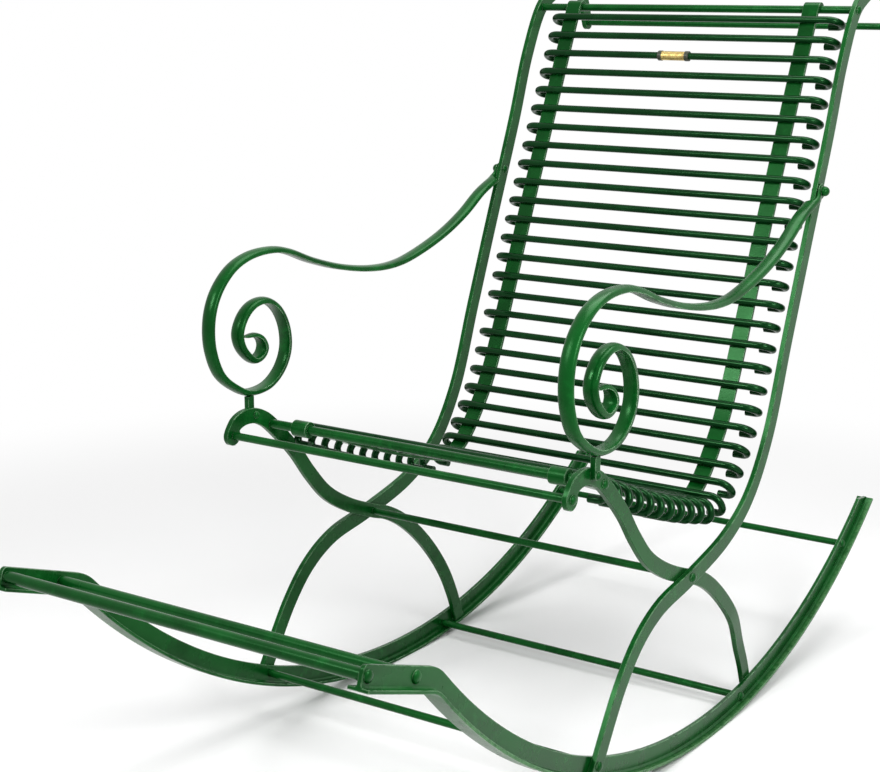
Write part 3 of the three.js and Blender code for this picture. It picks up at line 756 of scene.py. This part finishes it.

# The slats: round rods bent back into a hairpin at both ends and cut square, coloured darker than
# the frame as painted shade. They lie on the straps, close together on the back and a little wider
# on the seat.
slat_radius = 5.5 * mm
slat_span = 515 * mm
slat_offset = 9 * mm
hairpin_upper, hairpin_lower = 17.5 * mm, 10 * mm
stub_reach = 228 * mm
back_slats, seat_slats = 24, 12
back_pitch = 32 * mm
first_drop, last_gap = 24 * mm, 36 * mm
slat_sides, quarter_steps, rod_pieces = 16, 7, 14
# The slats get the frame's green made darker as painted shade, and their light edge colour is
# darkened the same way.
shaded_slat_green = (0.0012, 0.023, 0.0045)
shaded_slat_worn_and_glint = (0.16, 0.3, 0.17)
slat_roughness, slat_wear_and_glint_width, slat_wear_and_glint = 0.17, 1 * mm, 0.4
shaded_slat_paint = enamel("shaded_slat_enamel", shaded_slat_green, shaded_slat_worn_and_glint, slat_roughness, slat_wear_and_glint_width,
                    slat_wear_and_glint)


def straight(bm, edges, vector, pieces=1):
    for _ in range(pieces):
        verts, edges = drawn_out(bm, edges)
        bmesh.ops.translate(bm, vec=vector / pieces, verts=verts)
    return edges


def quarter_bend(bm, edges, centre):
    made = bmesh.ops.spin(bm, geom=edges, cent=centre, axis=(0, 1, 0), angle=-math.pi / 2,
                          steps=quarter_steps)["geom_last"]
    return edges_in(made)


def slat_mesh():
    """One slat about the X axis, with its two cut ends below it."""
    bm = bmesh.new()
    bend = slat_span / 2 - slat_radius - hairpin_upper
    start = bend + hairpin_upper - hairpin_lower
    stub = Vector((start - stub_reach, 0, 0))
    on_end = Matrix.Translation((stub_reach, 0, -hairpin_upper - hairpin_lower)) \
        @ Matrix.Rotation(math.pi / 2, 4, "Y")
    circle = bmesh.ops.create_circle(bm, cap_ends=False, segments=slat_sides, radius=slat_radius,
                                     matrix=on_end)["verts"]
    edges = list({e for v in circle for e in v.link_edges})
    bmesh.ops.edgeloop_fill(bm, edges=edges)
    edges = straight(bm, edges, stub)
    edges = quarter_bend(bm, edges, (start, 0, -hairpin_upper))
    edges = quarter_bend(bm, edges, (bend, 0, -hairpin_upper))
    edges = straight(bm, edges, Vector((-2 * bend, 0, 0)), rod_pieces)
    edges = quarter_bend(bm, edges, (-bend, 0, -hairpin_upper))
    edges = quarter_bend(bm, edges, (-start, 0, -hairpin_upper))
    edges = straight(bm, edges, stub)
    bmesh.ops.edgeloop_fill(bm, edges=edges)
    bmesh.ops.translate(bm, vec=(slat_offset, 0, 0), verts=bm.verts)
    return bm


strap_length = run_lengths(strap_route)[-1]
strap_ways = directions(strap_route)
seat_pitch = (strap_length - first_drop - (back_slats - 1) * back_pitch - last_gap) / seat_slats
rise = strap_thickness / 2 + rod_fit + slat_radius
slat_places = []
for i in range(back_slats + seat_slats):
    on_back = min(i, back_slats - 1)
    run = strap_length - first_drop - on_back * back_pitch - (i - on_back) * seat_pitch
    share = run / strap_length * (len(strap_route) - 1)
    at = int(share)
    point = strap_route[at].lerp(strap_route[at + 1], share - at)
    way = strap_ways[at].lerp(strap_ways[at + 1], share - at).normalized()
    place = point + Vector((0, -way.z, way.y)) * rise
    slat_places.append(place)
    bm = slat_mesh()
    bmesh.ops.rotate(bm, cent=(0, 0, 0), matrix=Matrix.Rotation(math.atan2(way.z, way.y), 3, "X"),
                     verts=bm.verts)
    bmesh.ops.translate(bm, vec=place, verts=bm.verts)
    finished(bm, f"slat_{i + 1:02d}", shaded_slat_paint)

# The tag: a plain sleeve of sheet brass round the third slat, gone brown in places. A dark collar
# at each end keeps it where it is.
tag_half, collar_length = 20 * mm, 7 * mm
tag_inner, tag_outer, collar_outer = 5.8 * mm, 7.2 * mm, 8 * mm
tag_edge = 0.5 * mm
tag_brass, tag_brown, collar_black = (0.58, 0.44, 0.16), (0.3, 0.21, 0.08), (0.03, 0.035, 0.02)
brass_metal, collar_metal = 1, 0.2
collar_blur = 0.3 * mm
tarnish_grain, scratch_grain = (160, 4, 0.6), (900, 2, 0.5)
tarnish_range = (0.4, 0.72)
brass_bright, brass_dull = 0.28, 0.5
scratch_bump, scratch_depth = 0.15, 0.2 * mm

brass = bare_material("old_brass")
tree = brass.node_tree
place = grown(tree, "TexCoord").outputs["Object"]
tarnish = noise(tree, place, tarnish_grain)
scratches = noise(tree, place, scratch_grain)
away = reckoned(tree, "ABSOLUTE", grown(tree, "SeparateXYZ", Vector=place).outputs["X"])
collar = soft_mask(tree, away, tag_half - collar_blur, tag_half + collar_blur)
sheet = blend(tree, soft_mask(tree, tarnish, *tarnish_range), (*tag_brass, 1), (*tag_brown, 1))
colour = blend(tree, collar, sheet, (*collar_black, 1))
gloss = grown(tree, "MapRange", Value=tarnish, From_Min=0.3, From_Max=0.7,
              To_Min=brass_bright, To_Max=brass_dull).outputs["Result"]
metal = grown(tree, "MapRange", Value=collar, To_Min=brass_metal,
              To_Max=collar_metal).outputs["Result"]
skin = grown(tree, "Bump", Strength=scratch_bump, Distance=scratch_depth,
             Height=scratches).outputs[0]
shader = grown(tree, "BsdfPrincipled", Base_Color=colour, Metallic=metal, Roughness=gloss,
               Normal=skin)
grown(tree, "OutputMaterial", Surface=shader.outputs[0])

half = [
    (tag_half - tag_edge, tag_outer), (tag_half, tag_outer), (tag_half, collar_outer - tag_edge),
    (tag_half + tag_edge, collar_outer), (tag_half + collar_length - tag_edge, collar_outer),
    (tag_half + collar_length, collar_outer - tag_edge), (tag_half + collar_length, tag_inner)]
profile = [(-x, r) for x, r in half[::-1]] + half
finished(turned([*profile, profile[0]], slat_places[2]), "tag", brass)
